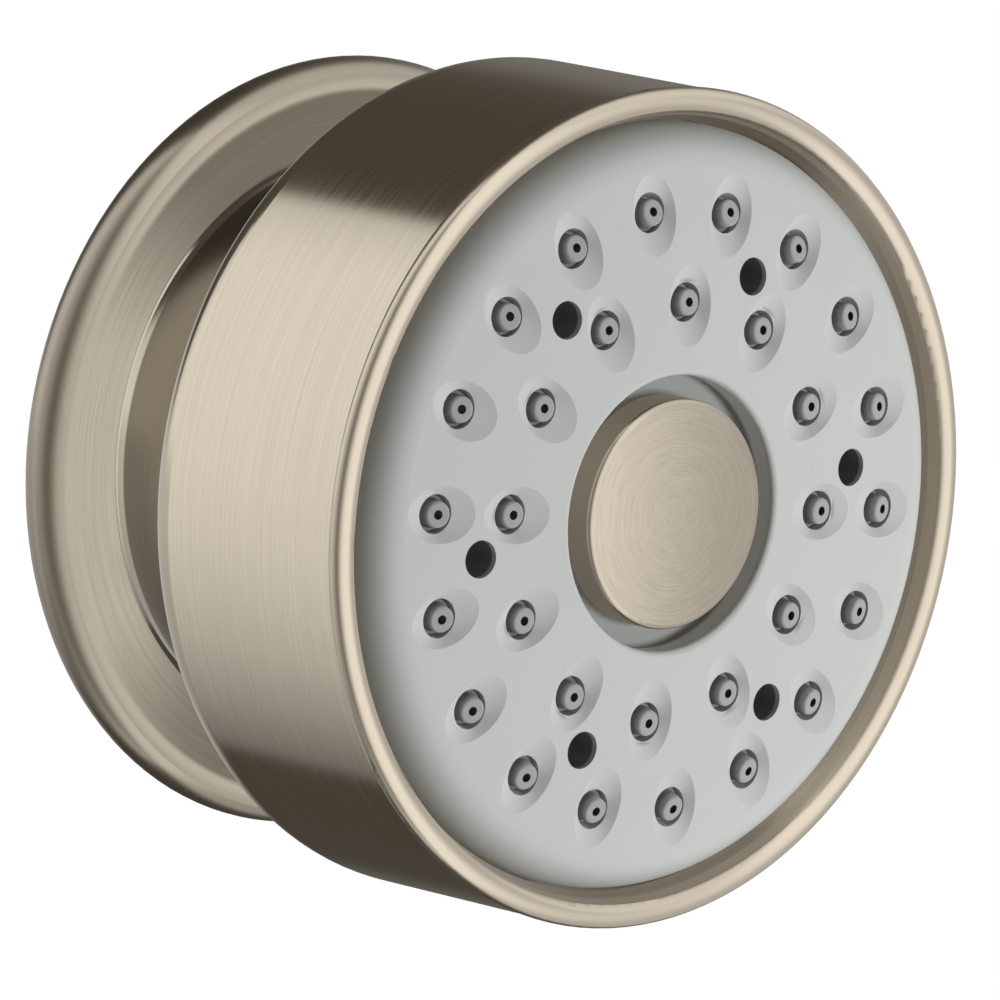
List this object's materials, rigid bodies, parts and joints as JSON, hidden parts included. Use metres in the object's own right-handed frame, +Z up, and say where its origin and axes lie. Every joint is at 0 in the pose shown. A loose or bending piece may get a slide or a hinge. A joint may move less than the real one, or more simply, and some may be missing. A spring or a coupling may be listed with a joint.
{
  "type": "shower head",
  "caption": "Round wall-mounted shower head aimed on a ball joint: brushed drum, domed spray face with soft nozzles in oval dimples, and a round escutcheon over a threaded stud.",
  "frame": {"origin": "centre of the escutcheon's back, in the wall's plane, at the root of the stud's thread", "axes": "+Z up, -Y the way the water leaves, +Y along the stud's thread into the wall"},
  "size_m": [0.1, 0.0778, 0.1],
  "materials": {
    "brushed_nickel": "brushed nickel plate",
    "face_plastic": "light grey satin plastic",
    "nozzle_rubber": "light grey silicone",
    "brass": "turned brass",
    "seal_rubber": "black rubber",
    "white_plastic": "white acetal",
    "dark_plastic": "black moulded plastic",
    "steel": "stainless steel",
    "fibre": "pressed fibre"
  },
  "bodies": {
    "wall_side": {"ball_stud": "brass", "inlet_filter": "white_plastic", "neck": "brushed_nickel", "neck_washer": "fibre", "escutcheon": "brushed_nickel", "escutcheon_ring": "seal_rubber", "wall_gasket": "seal_rubber"},
    "pan_ring": {"friction_ring": "white_plastic"},
    "tilt_seat": {"ball_seat": "white_plastic"},
    "head": {"ball_nut": "brass", "ball_socket": "brass", "ball_seal": "seal_rubber", "flow_restrictor": "white_plastic", "spray_body": "dark_plastic", "body_seal": "seal_rubber", "snap_ring": "steel", "housing": "brushed_nickel", "face_plate": "face_plastic", "nozzle_mat": "nozzle_rubber", "face_screws": "steel", "centre_cap": "brushed_nickel"}
  },
  "joints": [
    {"name": "pan", "type": "hinge", "parent": "wall_side", "child": "pan_ring", "pos_m": [0, -0.014, 0], "axis": [0, 0, 1], "range_deg": [-12, 12]},
    {"name": "tilt", "type": "hinge", "parent": "pan_ring", "child": "tilt_seat", "pos_m": [0, -0.014, 0], "axis": [1, 0, 0], "range_deg": [-12, 12]},
    {"name": "spin", "type": "hinge", "parent": "tilt_seat", "child": "head", "pos_m": [0, -0.014, 0], "axis": [0, 1, 0], "continuous": true}
  ]
}
